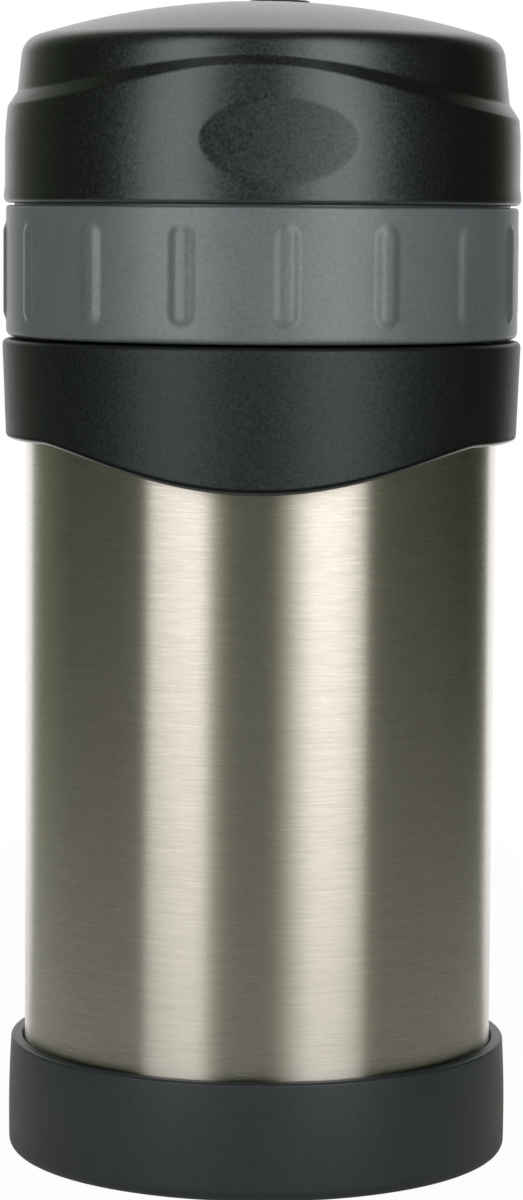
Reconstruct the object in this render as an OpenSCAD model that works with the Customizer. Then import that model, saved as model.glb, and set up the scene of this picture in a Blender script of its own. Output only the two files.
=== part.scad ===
// Insulated food jar: a vacuum flask with a rubber boot and a threaded collar, a screw-in food
// container with a ribbed grip ring, and a screw-on domed lid with a push-button vent.
// Millimetres, +Z up, the origin at the centre of the foot, the front towards -Y.

/* [Steel flask] */
// Outer radius of the steel body
steel_r = 43.7; // [40:0.1:47]
// Height of the steel mouth above the floor
mouth_z = 139.5; // [120:0.5:160]
// Thickness of the outer steel wall
shell_t = 0.6; // [0.4:0.1:1]
// Thickness of the inner steel wall
liner_t = 0.5; // [0.4:0.1:0.8]
// Width of the vacuum space round the inner wall
vacuum_gap = 3.1; // [2:0.1:4]
// Height of the vacuum space under the inner wall
vacuum_floor = 16; // [11:0.5:22]
// Radius of the steel floor corners
floor_round = 8; // [4:0.5:12]
// How far the neck steps in from the steel body
neck_step = 2.1; // [1.5:0.1:2.6]
// Height of the neck above the steel shoulder
neck_h = 3.5; // [3:0.1:5]
// Thickness of the welded bottom plate
plate_t = 0.8; // [0.5:0.1:1.2]
// Radius of the evacuation hole in the bottom plate
vent_hole_r = 1.2; // [0.8:0.1:2]
// Radius of the disc that covers the evacuation hole
seal_cap_r = 9; // [5:0.5:14]
// Thickness of the disc that covers the evacuation hole
seal_cap_t = 0.8; // [0.4:0.1:1.2]
// Thickness of the heat-reflecting foil
foil_t = 0.15; // [0.1:0.05:0.3]
// Radius of the getter pill
getter_r = 5; // [3:0.5:8]
// Height of the getter pill
getter_h = 3; // [2:0.5:4]
// Distance of the getter pill from the axis
getter_x = 20; // [15:1:28]

/* [Base boot] */
// Height of the boot
boot_h = 21.5; // [16:0.5:30]
// Wall thickness of the boot
boot_t = 2.85; // [2:0.05:4]
// Thickness of the boot's floor
boot_floor = 3.2; // [2.5:0.1:5]
// Radius of the boot's top lip
boot_lip_round = 0.6; // [0.3:0.1:1.2]
// How much narrower the boot is at its lip than at its foot
boot_draft = 0.45; // [0:0.05:1]
// Radius of the boot's lower corner
boot_foot_round = 2; // [1:0.5:4]
// Depth of the hollow under the foot
foot_hollow = 1.2; // [0.5:0.1:1.8]
// Width of the foot's bearing ring
foot_w = 9; // [4:0.5:12]

/* [Collar] */
// Height of the collar above the steel mouth
collar_rise = 12.3; // [9:0.1:16]
// Height of the collar below the steel mouth, at the sides
collar_skirt = 6.1; // [5.2:0.1:9]
// Radius of the collar's upper corner
collar_round = 1.2; // [0.3:0.1:1.5]
// Chamfer of the collar's lower edge
collar_chamfer = 1.2; // [0.3:0.1:2]
// Wall of the collar outside its thread
collar_wall = 4.2; // [3:0.1:6]
// How much narrower the collar is at its lower edge
collar_draft = 1; // [0:0.1:1]
// Drop of the bib below the sides of the collar
bib_drop = 7.5; // [0.5:0.5:14]
// Half the width of the bib
bib_half_w = 39.5; // [25:0.5:42]
// Thickness of the collar's gasket
collar_gasket_t = 1.2; // [0.8:0.1:1.5]

/* [Food container] */
// Space between the container and the steel liner
cup_gap = 0.7; // [0.5:0.1:1.2]
// Wall thickness of the container
cup_wall = 2.2; // [1.5:0.1:3]
// Thickness of the container's floor
cup_floor = 2.4; // [1.5:0.1:4]
// How much narrower the container is at its floor
cup_taper = 2.6; // [1:0.1:5]
// Radius of the container's lower corner
cup_round = 9; // [4:0.5:14]
// Space under the container
cup_under = 2; // [1:0.5:6]
// Height of the container's neck above the grip ring
neck_rise = 9.9; // [9:0.1:12]
// How far the neck is thicker than the container's wall
neck_bulge = 1.2; // [0.8:0.1:1.6]
// Thickness of the container's flanges and skirt
flange_t = 2; // [1.5:0.1:2.5]
// Space between the container's wall and the threaded skirt
skirt_gap = 1.4; // [1:0.1:2]
// Thickness of the container's gasket
container_gasket_t = 2; // [1:0.1:2.5]

/* [Grip ring] */
// Height of the grip ring
ring_h = 24; // [18:0.05:32]
// How far the grip ring lies inside the collar's outer face
ring_inset = 0.7; // [0.6:0.1:1.5]
// Wall thickness of the grip ring
ring_t = 2.2; // [1.8:0.1:3]
// Radius of the grip ring's upper corner
ring_round = 1.1; // [0.4:0.1:1.1]
// Radius of the grip ring's lower corner
ring_low_round = 1.4; // [0.4:0.1:1.5]
// Width of the raised land on the grip ring that fits into a step in the lid's lower edge
land_w = 0.7; // [0.3:0.1:0.7]
// Number of ribs round the ring
rib_count = 16; // [8:4:24]
// Height of a rib's outline
rib_h = 18.1; // [8:0.1:18.4]
// Width of a rib
rib_w = 4.8; // [2:0.1:7]
// How far a rib stands out
rib_proud = 0.55; // [0.2:0.05:0.6]
// Angle from the front to the nearest rib
rib_turn = 5.2; // [0:0.1:20]

/* [Lid] */
// How far the lid lies inside the collar's outer face
lid_inset = 0.3; // [0.1:0.1:1]
// Height of the lid
lid_h = 37.1; // [33:0.1:42]
// Radius of the crown's curve
crown_r = 138; // [100:1:200]
// Radius of the shoulder between crown and side
shoulder_round = 4.2; // [2:0.1:5]
// How far the dome's side lies inside the lid's band
dome_inset = 3.2; // [2.8:0.1:3.6]
// Widening of the dome per millimetre of height below the shoulder
dome_draft = 0.11; // [0.02:0.01:0.12]
// Height above the lid's lower edge where the band starts to draw in
band_straight = 10; // [6:0.5:14]
// How far the band has drawn in, 14 mm above that height
band_draw = 1.7; // [1:0.1:1.9]
// Mean height of the ledge above the lid's lower edge
ledge_mean = 20.8; // [20:0.1:22]
// How far the ledge rises at front and back, and dips at the sides
ledge_wave = 3.5; // [1:0.1:4]
// How much lower the ledge lies on the right than in the mean
ledge_sway = 1; // [0:0.1:2]
// How much the ledge's crests and troughs are lifted
ledge_pinch = 0.8; // [0:0.1:1]
// Steepness of the ledge's chamfer
ledge_slope = 1.5; // [1:0.1:2]
// Wall thickness of the lid's dome
dome_t = 1.9; // [1.5:0.1:2.2]
// Wall thickness of the lid's band
band_t = 3.1; // [2.8:0.1:3.3]
// Radius of the lid's lower corner
lid_round = 1; // [0.4:0.1:1.5]
// Width of the finger dimple
dimple_w = 30.2; // [16:0.2:36]
// Height of the finger dimple
dimple_h = 17.6; // [10:0.2:18]
// Depth of the finger dimple
dimple_depth = 1.6; // [0.8:0.1:1.9]
// Height of the dimple's centre above the lid's lower edge
dimple_z = 11.8; // [10:0.1:12.4]
// Angle from the front to the dimple's centre
dimple_turn = 3.8; // [0:0.1:20]
// Thickness of the lid's gasket
lid_gasket_t = 2; // [1:0.1:3]
// Thickness of the inner lid's plate
liner_plate_t = 2; // [1.5:0.1:2.5]

/* [Vent] */
// Distance of the vent from the axis, to the right
vent_x = 2.8; // [0:0.1:6]
// Radius of the vent button
button_r = 5.8; // [5.2:0.1:7]
// How far the button stands above the crown
button_proud = 0.25; // [0.1:0.05:0.6]
// How far the button presses in
button_travel = 1.6; // [0.8:0.1:2]
// Radius of the vent stem
stem_r = 1.5; // [1:0.1:1.8]
// Radius of the vent valve
valve_r = 4.5; // [3.5:0.1:6]
// Thickness of the vent valve
valve_t = 1.4; // [1:0.1:2]
// Mean radius of the vent spring
spring_r = 3; // [2.6:0.1:3.2]
// Wire radius of the vent spring
wire_r = 0.3; // [0.2:0.05:0.35]
// Turns of the vent spring
spring_turns = 9; // [6:1:12]
// Thickness of the washer under the spring
washer_t = 0.5; // [0.4:0.1:0.8]

/* [Threads and clearances] */
// Rise of both screw threads in one turn
thread_lead = 12; // [10:1:14]
// Number of thread starts on the lid
lid_starts = 3; // [2:1:4]
// Number of thread starts on the container
container_starts = 3; // [2:1:4]
// Depth of the threads
thread_depth = 1.15; // [0.8:0.05:1.2]
// Width of a thread ridge at its root
ridge_root = 1.7; // [1.2:0.1:2]
// Width of a thread ridge at its crest
ridge_crest = 0.8; // [0.5:0.1:1]
// Radial play between mating threads
thread_play = 0.45; // [0.35:0.05:0.6]
// Gap of the visible seam between lid and grip ring
lid_seam = 0.4; // [0.2:0.1:0.6]
// Gap of the visible seam between grip ring and collar
collar_seam = 0.45; // [0.3:0.05:1]
// Gap between pieces that rest on each other or slide
fit = 0.1; // [0.05:0.05:0.2]

/* [Hidden] */
$fn = 96;

// Small amount by which a cut runs past the face that it opens
over = 1;
// Steps round a full turn of a wavy edge and of a thread
wave_steps = 72;
thread_steps = 36;

// Distance from a thread's end to the end of its wall
thread_margin = 1.2;
// How far the cut above the ledge reaches inwards and outwards from the ledge's middle
ledge_in = 2.2;
ledge_out = 4;
// Depth to which ridges are rooted in their wall
ridge_sunk = 0.4;
// Height above the floor at which the getter's plate is welded in
plate_rise = 2;
// Chamfer of the boot's lip, next to the steel
lip_chamfer = 0.4;
// Radius of the steel shoulder's corner
steel_round = 1;
// Gap between the foil and the inner wall, and between its end and the shoulder
foil_gap = 0.05;
foil_end = 4;
// Gap round discs that are welded in
weld = 0.02;
// Step that carries the container's flange in the grip ring
seat_w = 1.3;
seat_h = 1;
// How far the container's flange lies below the ring's upper face
flange_recess = 0.2;
// Length of the container's straight top under the grip ring
cup_straight = 4.25;
// Chamfer of the container's rim
rim_chamfer = 0.5;
// Size of the inner lid's lip inside the gasket
lip_w = 1;
lip_h = 1.4;
// Gap between the inner lid and the lid's lower edge
liner_recess = 0.6;
// Height of the step in the lid's lower edge
step_h = 0.6;
// Gap round the foam
foam_gap = 0.4;
// How much thicker the crown is than the dome's side
crown_extra_t = 0.3;
// Chamfer inside the lid, above the inner lid
cavity_chamfer = 2;
// Sizes and gaps of the vent's small pieces
spring_gap = 0.5;
washer_gap = 0.4;
tube_gap = 0.6;
foam_hole_gap = 0.6;
button_round = 0.5;
button_crown = 0.1;
clip_t = 0.6;
clip_w = 1;
stem_end = 0.6;
stem_socket = 2;
button_flange_t = 1.2;
button_flange_w = 0.9;
tube_wall = 1.1;
stem_play = 0.7;

// Steel walls
shell_in_r = steel_r - shell_t;
neck_r = steel_r - neck_step;
liner_out_r = shell_in_r - vacuum_gap;
liner_in_r = liner_out_r - liner_t;
shoulder_z = mouth_z - neck_h;
plate_z = boot_floor + plate_rise;
liner_z = plate_z + plate_t + vacuum_floor;

// Container
cup_r = liner_in_r - cup_gap;
cup_in_r = cup_r - cup_wall;
cup_z = liner_z + liner_t + cup_under;
cup_neck_r = cup_r + neck_bulge;
lid_root_r = cup_neck_r + thread_depth + thread_play;
skirt_in_r = cup_r + skirt_gap;
skirt_r = skirt_in_r + flange_t;
collar_root_r = skirt_r + thread_depth + thread_play;

// Outer faces and seams
collar_r = collar_root_r + collar_wall;
collar_top = mouth_z + collar_rise;
collar_side_z = mouth_z - collar_skirt;
ring_r = collar_r - ring_inset;
ring_z0 = collar_top + collar_seam;
ring_z1 = ring_z0 + ring_h;
lid_r = collar_r - lid_inset;
lid_z = ring_z1 + lid_seam;
dome_r = lid_r - dome_inset;
lid_in_r = lid_r - band_t;
rim_z = ring_z1 + neck_rise;
ring_in_r = ring_r - ring_t;
land_r = ring_in_r + land_w;
land_z = lid_z + step_h - fit;
cup_flange_z = ring_z1 - flange_recess;
boot_r = steel_r + fit + boot_t;
collar_shelf_z = shoulder_z + collar_gasket_t + fit;
container_gasket_z = mouth_z + fit;
skirt_z = container_gasket_z + container_gasket_t + fit;

// Lid
shoulder_x = dome_r - shoulder_round;
shoulder_h = lid_h - crown_r + sqrt(pow(crown_r - shoulder_round, 2) - pow(shoulder_x, 2));
shoulder_tilt = asin(shoulder_x / (crown_r - shoulder_round));
lid_gasket_z = rim_z + fit;
plate_under = lid_gasket_z + lid_gasket_t + fit;
plate_over = plate_under + liner_plate_t;
lid_liner_r = lid_in_r - fit;
gasket_in_r = cup_in_r - 2 * fit;
gasket_out_r = cup_neck_r + fit;
crown_under_r = crown_r - dome_t - crown_extra_t;

// Vent
crown_z = lid_z + lid_h;
button_top = crown_z - pow(vent_x, 2) / (2 * crown_r) + button_proud;
crown_under_z = crown_z - crown_r + sqrt(pow(crown_under_r, 2) - pow(vent_x + button_r + 1, 2));
flange_top = crown_under_z - fit;
button_flange_r = button_r + button_flange_w;
button_under = flange_top - button_flange_t;
valve_top = plate_under - fit;
valve_z = valve_top - valve_t;
tube_in_r = spring_r + wire_r + spring_gap;
tube_r = tube_in_r + tube_wall;
tube_top = button_under - button_travel - tube_gap;
spring_z0 = plate_over + washer_t + fit;

// Points of an arc round (x, z)
function arc(x, z, r, from, to, n) =
    [for (i = [0:n]) let (a = from + (to - from) * i / n) [x + r * cos(a), z + r * sin(a)]];

// Outer radius of the lid's band and of its dome, at height h above the lid's lower edge
function band_r(h) = lid_r - band_draw * pow(max(0, h - band_straight) / 14, 2);
function dome_side_r(h) = dome_r + dome_draft * (shoulder_h - h);

// Height of the middle of the ledge above the lid's lower edge, at angle a from the front
function ledge_h(a) = ledge_mean + ledge_wave * cos(2 * a) - ledge_sway * sin(a)
    + ledge_pinch * cos(4 * a);

// Height of the collar's lower edge at angle a from the front
function bib_z(a) =
    collar_side_z - bib_drop * pow(max(0, 1 - pow(collar_r * sin(a) / bib_half_w, 2)), 1.5);

// Tube through a list of rings, each a list of as many points; closed joins the last to the first
module sweep(rings, closed = false) {
    n = len(rings[0]);
    m = len(rings);
    sides = [for (i = [0:m - (closed ? 1 : 2)], j = [0:n - 1])
        let (k = (i + 1) % m, l = (j + 1) % n)
        each [[i * n + j, i * n + l, k * n + l], [i * n + j, k * n + l, k * n + j]]];
    ends = closed ? [] : [[for (j = [n - 1:-1:0]) j], [for (j = [0:n - 1]) (m - 1) * n + j]];
    polyhedron(points = [for (r = rings) each r], faces = concat(sides, ends));
}

// One start of a screw thread on a wall of radius r, outward or inward, from z0 up to z1
module ridge(r, z0, z1, start, outward) {
    side = outward ? 1 : -1;
    turn = 360 * (z1 - z0 - ridge_root) / thread_lead;
    n = ceil(turn / 360 * thread_steps);
    rings = [for (i = [0:n]) let (
        a = start + turn * i / n,
        z = z0 + ridge_root / 2 + thread_lead * turn / 360 * i / n,
        depth = thread_depth * min(1, (i + 0.4) / 2, (n - i + 0.4) / 2),
        section = [
            [r - side * ridge_sunk, -ridge_root / 2], [r + side * depth, -ridge_crest / 2],
            [r + side * depth, ridge_crest / 2], [r - side * ridge_sunk, ridge_root / 2]])
        [for (p = section) [p[0] * cos(a), p[0] * sin(a), z + p[1]]]];
    sweep(outward ? rings : [for (g = rings) [for (j = [3:-1:0]) g[j]]]);
}

// All starts of a thread; the phase is the angle at which a ridge crosses height 0
module thread(r, z0, z1, starts, outward, phase) {
    for (k = [0:starts - 1])
        ridge(r, z0, z1, phase + 360 * k / starts + 360 * z0 / thread_lead, outward);
}

// Ring with a rectangular section
module ring(r_in, r_out, z0, z1) {
    rotate_extrude() translate([r_in, z0]) square([r_out - r_in, z1 - z0]);
}

// Everything above the ledge, outside the lid's dome
module above_ledge() {
    rings = [for (i = [0:wave_steps - 1]) let (
        a = 360 * i / wave_steps,
        h = ledge_h(a),
        mid_r = (band_r(h) + dome_side_r(h)) / 2,
        in_r = mid_r - ledge_in,
        out_r = mid_r + ledge_out,
        section = [[in_r, ledge_slope * ledge_in], [out_r, -ledge_slope * ledge_out],
            [out_r, lid_h], [in_r, lid_h]])
        [for (p = section) [p[0] * sin(a), -p[0] * cos(a), lid_z + h + p[1]]]];
    sweep(rings, closed = true);
}

// Everything under the collar's lower edge and its chamfer
module below_bib() {
    low_z = collar_side_z - bib_drop - over;
    flat_r = collar_r - collar_draft - collar_chamfer;
    rings = [for (i = [0:wave_steps - 1]) let (a = 360 * i / wave_steps, z = bib_z(a),
        section = [[steel_r - over, low_z], [collar_r + over, low_z],
            [collar_r + over, z + collar_r + over - flat_r], [flat_r, z], [steel_r - over, z]])
        [for (p = section) [p[0] * sin(a), -p[0] * cos(a), p[1]]]];
    sweep(rings, closed = true);
}

// Scoop whose cut in the lid's face is the oval finger dimple
module dimple() {
    half_h = dimple_h / 2;
    half_w = dimple_w / 2;
    scoop_r = (pow(half_h, 2) + pow(dimple_depth, 2)) / (2 * dimple_depth);
    face_drop = lid_r - sqrt(pow(lid_r, 2) - pow(half_w, 2));
    rise = face_drop - dimple_depth;
    reach = half_w + over;
    steps = 12;
    rotate([0, 0, dimple_turn]) translate([0, -lid_r + dimple_depth - scoop_r, lid_z + dimple_z])
        rotate([0, 90, 0]) rotate_extrude()
            polygon([[0, -reach], for (i = [0:steps]) let (x = -reach + 2 * reach * i / steps)
                [scoop_r + rise * pow(x / half_w, 2), x], [0, reach]]);
}

// Steel flask
module outer_shell() {
    color("silver") rotate_extrude() polygon([
        [shell_in_r, boot_floor + fit], [steel_r, boot_floor + fit],
        each arc(steel_r - steel_round, shoulder_z - steel_round, steel_round, 0, 90, 6),
        [neck_r, shoulder_z], [neck_r, mouth_z - liner_t], [neck_r - shell_t, mouth_z - liner_t],
        [neck_r - shell_t, shoulder_z - shell_t], [shell_in_r, shoulder_z - shell_t]]);
}

module inner_liner() {
    color("gainsboro") rotate_extrude() polygon([
        [0, liner_z], each arc(liner_out_r - floor_round, liner_z + floor_round, floor_round, -90, 0, 8),
        [liner_out_r, mouth_z - liner_t], [neck_r, mouth_z - liner_t], [neck_r, mouth_z],
        [liner_in_r, mouth_z],
        each arc(liner_out_r - floor_round, liner_z + floor_round, floor_round - liner_t, 0, -90, 8),
        [0, liner_z + liner_t]]);
}

module bottom_plate() {
    color("silver") difference() {
        translate([0, 0, plate_z]) cylinder(r = shell_in_r - weld, h = plate_t);
        translate([0, 0, plate_z - over]) cylinder(r = vent_hole_r, h = plate_t + 2 * over);
    }
}

module reflective_foil() {
    foil_r = liner_out_r + foil_gap;
    color("peru") ring(foil_r, foil_r + foil_t, liner_z + floor_round, shoulder_z - foil_end);
}

module getter() {
    color("dimgray") translate([getter_x, 0, plate_z + plate_t]) cylinder(r = getter_r, h = getter_h);
}

module vacuum_plug() {
    color("lightgray") translate([0, 0, plate_z]) cylinder(r = vent_hole_r - weld, h = plate_t);
}

module seal_cap() {
    color("silver") translate([0, 0, plate_z - seal_cap_t]) cylinder(r = seal_cap_r, h = seal_cap_t);
}

// Rubber boot
module base_boot() {
    in_r = steel_r + fit / 2;
    foot_out = boot_r - boot_foot_round;
    lip_out = boot_r - boot_draft - boot_lip_round;
    color([0.19, 0.21, 0.22]) difference() {
        rotate_extrude() polygon([
            [0, 0], each arc(foot_out, boot_foot_round, boot_foot_round, -90, 0, 8),
            each arc(lip_out, boot_h - boot_lip_round, boot_lip_round, 0, 90, 8),
            [in_r + lip_chamfer, boot_h], [in_r, boot_h - 2 * lip_chamfer], [in_r, boot_floor],
            [0, boot_floor]]);
        translate([0, 0, -over]) cylinder(r = foot_out - foot_w, h = foot_hollow + over);
    }
}

// Collar of the flask
module collar() {
    low_z = collar_side_z - bib_drop;
    low_r = collar_r - collar_draft;
    color([0.1, 0.1, 0.11]) {
        difference() {
            rotate_extrude() polygon([
                [steel_r + fit, low_z], [low_r, low_z],
                each arc(collar_r - collar_round, collar_top - collar_round, collar_round, 0, 90, 5),
                [collar_root_r, collar_top], [collar_root_r, mouth_z],
                [neck_r + fit, mouth_z], [neck_r + fit, collar_shelf_z],
                [steel_r + fit, collar_shelf_z]]);
            below_bib();
        }
        thread(collar_root_r, mouth_z + thread_margin, collar_top - thread_margin / 2, container_starts,
            false, 0);
    }
}

module collar_gasket() {
    color("gray") ring(neck_r + fit, steel_r - steel_round, shoulder_z + fit / 2,
        collar_shelf_z - fit / 2);
}

// Food container
module food_cup() {
    low_r = cup_r - cup_taper;
    color([0.82, 0.82, 0.79]) {
        rotate_extrude() polygon([
            [0, cup_z], each arc(low_r - cup_round, cup_z + cup_round, cup_round, -90, 0, 8),
            [cup_r, ring_z0 - cup_straight], [cup_r, cup_flange_z - flange_t],
            [ring_in_r - fit, cup_flange_z - flange_t], [ring_in_r - fit, cup_flange_z],
            [cup_neck_r, cup_flange_z], [cup_neck_r, rim_z - rim_chamfer],
            [cup_neck_r - rim_chamfer, rim_z], [cup_in_r, rim_z], [cup_in_r, ring_z0 - cup_straight],
            each arc(low_r - cup_round, cup_z + cup_round, cup_round - cup_wall, 0, -90, 8),
            [0, cup_z + cup_floor]]);
        thread(cup_neck_r, ring_z1 + thread_margin, rim_z - thread_margin, lid_starts, true,
            180 / lid_starts);
    }
}

// Grip ring with its ribs and the skirt that screws into the collar
module grip_ring() {
    seat_z = cup_flange_z - flange_t - fit;
    rib_z = (ring_z0 + ring_z1) / 2;
    color([0.37, 0.39, 0.41]) {
        rotate_extrude() polygon([
            [cup_r + fit, ring_z0], [skirt_in_r, ring_z0], [skirt_in_r, skirt_z], [skirt_r, skirt_z],
            [skirt_r, ring_z0],
            each arc(ring_r - ring_low_round, ring_z0 + ring_low_round, ring_low_round, -90, 0, 4),
            each arc(ring_r - ring_round, ring_z1 - ring_round, ring_round, 0, 90, 4),
            [land_r, ring_z1], [land_r, land_z], [ring_in_r, land_z], [ring_in_r, seat_z],
            [ring_in_r - seat_w, seat_z], [ring_in_r - seat_w, seat_z - seat_h],
            [ring_in_r, seat_z - seat_h - seat_w], [ring_in_r, ring_z0 + flange_t],
            [cup_r + fit, ring_z0 + flange_t]]);
        intersection() {
            ring(ring_r - 1, ring_r + rib_proud, ring_z0, ring_z1);
            for (k = [0:rib_count - 1]) rotate([0, 0, rib_turn - 90 + 360 * k / rib_count])
                translate([ring_r - 3, 0, rib_z]) rotate([90, 0, 90]) linear_extrude(6) stadium();
        }
        thread(skirt_r, skirt_z + thread_margin / 2, ring_z0 - thread_margin / 2, container_starts, true,
            180 / container_starts);
    }
}

// Outline of a rib: a bar with round ends
module stadium() {
    half = (rib_h - rib_w) / 2;
    square([rib_w, 2 * half], center = true);
    for (y = [-half, half]) translate([0, y]) circle(d = rib_w, $fn = 32);
}

module container_gasket() {
    color("gray") ring(skirt_in_r, skirt_r - fit, container_gasket_z,
        container_gasket_z + container_gasket_t);
}

// Lid
module lid_shell() {
    band_top = ledge_mean + ledge_wave + ledge_pinch + ledge_slope + 1;
    steps = 8;
    color([0.09, 0.09, 0.1]) difference() {
        union() {
            difference() {
                rotate_extrude() polygon([
                    [lid_in_r, lid_z + step_h], [land_r + fit, lid_z + step_h], [land_r + fit, lid_z],
                    each arc(lid_r - lid_round, lid_z + lid_round, lid_round, -90, 0, 5),
                    for (i = [0:steps])
                        let (h = band_straight + (band_top - band_straight) * i / steps)
                        [band_r(h), lid_z + h],
                    [dome_r - dome_t, lid_z + band_top], [dome_r - dome_t, lid_z + band_straight],
                    [lid_in_r, lid_z + band_straight]]);
                above_ledge();
            }
            rotate_extrude() polygon([
                [0, lid_z + band_straight], [dome_side_r(band_straight), lid_z + band_straight],
                each arc(shoulder_x, lid_z + shoulder_h, shoulder_round, 0, 90 - shoulder_tilt, 8),
                each arc(0, crown_z - crown_r, crown_r, 90 - shoulder_tilt, 90, 12)]);
        }
        lid_cavity();
        dimple();
        translate([vent_x, 0, plate_over]) cylinder(r = button_r + fit, h = lid_h);
    }
}

// Hollow inside the lid's shell
module lid_cavity() {
    top_r = dome_r - dome_t;
    side_x = top_r - shoulder_round;
    side_z = crown_z - crown_r + sqrt(pow(crown_under_r - shoulder_round, 2) - pow(side_x, 2));
    tilt = asin(side_x / (crown_under_r - shoulder_round));
    rotate_extrude() polygon([
        [0, lid_z - over], [lid_in_r, lid_z - over], [lid_in_r, plate_over + foam_gap],
        [top_r, plate_over + foam_gap + cavity_chamfer],
        each arc(side_x, side_z, shoulder_round, 0, 90 - tilt, 6),
        each arc(0, crown_z - crown_r, crown_under_r, 90 - tilt, 90, 12)]);
}

module lid_liner() {
    lip_r = gasket_in_r - fit;
    color([0.25, 0.25, 0.26]) {
        difference() {
            rotate_extrude() polygon([
                [0, plate_under], [lip_r - lip_w, plate_under], [lip_r - lip_w, plate_under - lip_h],
                [lip_r, plate_under - lip_h], [lip_r, plate_under],
                [gasket_out_r + fit, plate_under], [gasket_out_r + fit, lid_gasket_z],
                [lid_root_r, lid_gasket_z], [lid_root_r, lid_z + liner_recess],
                [lid_liner_r, lid_z + liner_recess], [lid_liner_r, plate_over], [0, plate_over]]);
            translate([vent_x, 0, plate_under - over])
                cylinder(r = stem_r + stem_play, h = liner_plate_t + 2 * over);
        }
        translate([vent_x, 0, 0]) ring(tube_in_r, tube_r, plate_over - 0.5, tube_top);
        thread(lid_root_r, lid_z + thread_margin, lid_gasket_z - thread_margin, lid_starts, false, 0);
    }
}

module lid_foam() {
    top_r = dome_r - dome_t - foam_gap;
    foam_crown_r = crown_under_r - foam_gap;
    side_x = top_r - shoulder_round;
    side_z = crown_z - crown_r + sqrt(pow(foam_crown_r - shoulder_round, 2) - pow(side_x, 2));
    tilt = asin(side_x / (foam_crown_r - shoulder_round));
    color("ivory") difference() {
        rotate_extrude() polygon([
            [0, plate_over + fit], [top_r, plate_over + fit],
            each arc(side_x, side_z, shoulder_round, 0, 90 - tilt, 6),
            each arc(0, crown_z - crown_r, foam_crown_r, 90 - tilt, 90, 12)]);
        translate([vent_x, 0, plate_over - over]) cylinder(r = button_flange_r + foam_hole_gap, h = lid_h);
    }
}

module lid_gasket() {
    color("lightgray") ring(gasket_in_r, gasket_out_r, lid_gasket_z,
        lid_gasket_z + lid_gasket_t);
}

// Vent
module vent_button() {
    edge_z = button_top - button_round - button_crown;
    color([0.12, 0.12, 0.13]) translate([vent_x, 0, 0]) difference() {
        rotate_extrude() polygon([
            [0, button_under], [button_flange_r, button_under], [button_flange_r, flange_top],
            [button_r, flange_top], each arc(button_r - button_round, edge_z, button_round, 0, 90, 4),
            [0, button_top]]);
        translate([0, 0, button_under - over]) cylinder(r = stem_r, h = over + stem_socket);
    }
}

module vent_stem() {
    color("silver") translate([vent_x, 0, valve_z - clip_t - stem_end])
        cylinder(r = stem_r, h = button_under + stem_socket - valve_z + clip_t + stem_end);
}

module vent_valve() {
    color("gray") translate([vent_x, 0, 0]) ring(stem_r, valve_r, valve_z, valve_top);
}

module valve_clip() {
    color("silver") translate([vent_x, 0, 0]) ring(stem_r, stem_r + clip_w, valve_z - clip_t, valve_z);
}

module spring_washer() {
    color("silver") translate([vent_x, 0, 0])
        ring(stem_r + washer_gap, tube_in_r - fit, plate_over, plate_over + washer_t);
}

module vent_spring() {
    steps = 8 * spring_turns;
    low = spring_z0 + wire_r;
    high = button_under - fit - wire_r;
    pitch = (high - low) / spring_turns;
    color("silver") translate([vent_x, 0, 0]) sweep([for (i = [0:steps])
        let (a = 360 * spring_turns * i / steps, z = low + (high - low) * i / steps)
        [for (j = [0:5]) let (r = spring_r + wire_r * cos(60 * j))
            [r * cos(a), r * sin(a), z + wire_r * sin(60 * j)]]]);
    echo("least gap between the spring's turns", pitch - 2 * wire_r);
}

outer_shell();
inner_liner();
bottom_plate();
reflective_foil();
getter();
vacuum_plug();
seal_cap();
base_boot();
collar();
collar_gasket();
food_cup();
grip_ring();
container_gasket();
lid_shell();
lid_liner();
lid_foam();
lid_gasket();
vent_button();
vent_stem();
vent_valve();
valve_clip();
vent_spring();
spring_washer();
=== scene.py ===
"""Looks of the insulated food jar: its visible shells as smooth meshes, its materials, the studio.

Lengths are written in millimetres and turned into metres by MM. The front is the -Y side, and an
angle round the jar is counted in degrees from the front towards +X.
"""
import math

import bmesh
import bpy
import numpy as np
from mathutils import Matrix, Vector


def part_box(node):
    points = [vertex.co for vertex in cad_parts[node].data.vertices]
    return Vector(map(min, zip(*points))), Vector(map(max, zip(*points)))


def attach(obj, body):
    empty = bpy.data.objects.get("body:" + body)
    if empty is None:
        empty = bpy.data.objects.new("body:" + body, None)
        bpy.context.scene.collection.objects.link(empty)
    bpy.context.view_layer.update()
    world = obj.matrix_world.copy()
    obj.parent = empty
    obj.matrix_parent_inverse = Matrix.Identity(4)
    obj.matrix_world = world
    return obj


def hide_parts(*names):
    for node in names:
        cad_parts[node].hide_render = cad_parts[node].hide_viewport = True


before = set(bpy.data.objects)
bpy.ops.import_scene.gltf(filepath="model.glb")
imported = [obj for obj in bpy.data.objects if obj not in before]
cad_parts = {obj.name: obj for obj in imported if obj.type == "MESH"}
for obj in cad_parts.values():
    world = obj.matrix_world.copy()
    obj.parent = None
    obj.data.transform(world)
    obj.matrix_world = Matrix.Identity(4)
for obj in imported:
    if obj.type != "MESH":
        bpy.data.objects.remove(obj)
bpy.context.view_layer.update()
MM = 0.001


def span(node):
    """Outer radius, lowest and highest level of a CAD node, in millimetres."""
    low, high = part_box(node)
    return (high[0] - low[0]) / 2 / MM, low[2] / MM, high[2] / MM


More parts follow.
